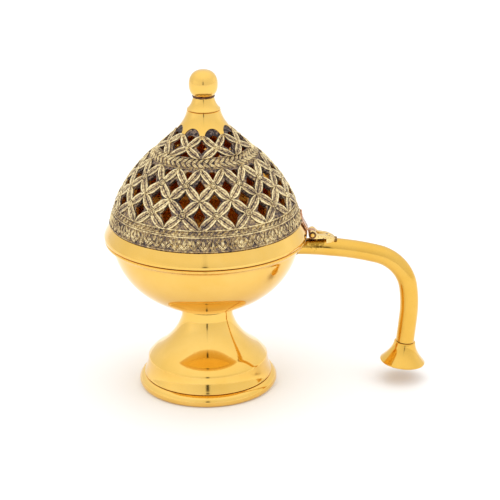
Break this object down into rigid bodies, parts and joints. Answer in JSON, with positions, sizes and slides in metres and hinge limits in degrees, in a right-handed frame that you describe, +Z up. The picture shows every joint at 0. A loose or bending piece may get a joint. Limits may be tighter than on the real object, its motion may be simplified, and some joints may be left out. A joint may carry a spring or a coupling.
{
  "type": "hand censer",
  "caption": "Brass hand censer with a turned foot and bowl, a bent tube handle with a trumpet end, and a hinged pierced domed lid with a ball finial.",
  "frame": {"origin": "centre of the foot's resting face, on the table", "axes": "+Z up along the axis of the foot, bowl and closed lid; +X towards the handle; the hinge pin lies along Y"},
  "size_m": [0.1776, 0.1112, 0.1798],
  "materials": {
    "polished_brass": "mirror polished, lacquered",
    "chased_brass": "cast and chased, darkened in the hollows, rubbed bright on the ridges",
    "cast_brass": "cast, pinkish, half polished",
    "plain_brass": "plain turned"
  },
  "bodies": {
    "censer": {"foot_ring": "polished_brass", "foot_plate": "plain_brass", "foot": "polished_brass", "bowl": "polished_brass", "bowl_bolt": "plain_brass", "bolt_washer": "plain_brass", "bolt_nut": "plain_brass", "handle_tube": "polished_brass", "handle_bell": "polished_brass", "hinge_body_leaf": "cast_brass", "hinge_pin": "cast_brass", "body_leaf_rivet": "cast_brass"},
    "lid": {"lid_rim": "polished_brass", "lid_dome": "chased_brass", "hinge_lid_leaf": "cast_brass", "lid_leaf_rivet_front": "cast_brass", "lid_leaf_rivet_back": "cast_brass", "finial_collar": "polished_brass", "finial_ball": "polished_brass", "finial_stud": "plain_brass", "finial_nut": "plain_brass"}
  },
  "joints": [
    {"name": "lid_hinge", "type": "hinge", "parent": "censer", "child": "lid", "pos_m": [0.0583, 0, 0.0875], "axis": [0, 1, 0], "range_deg": [0, 115]}
  ]
}
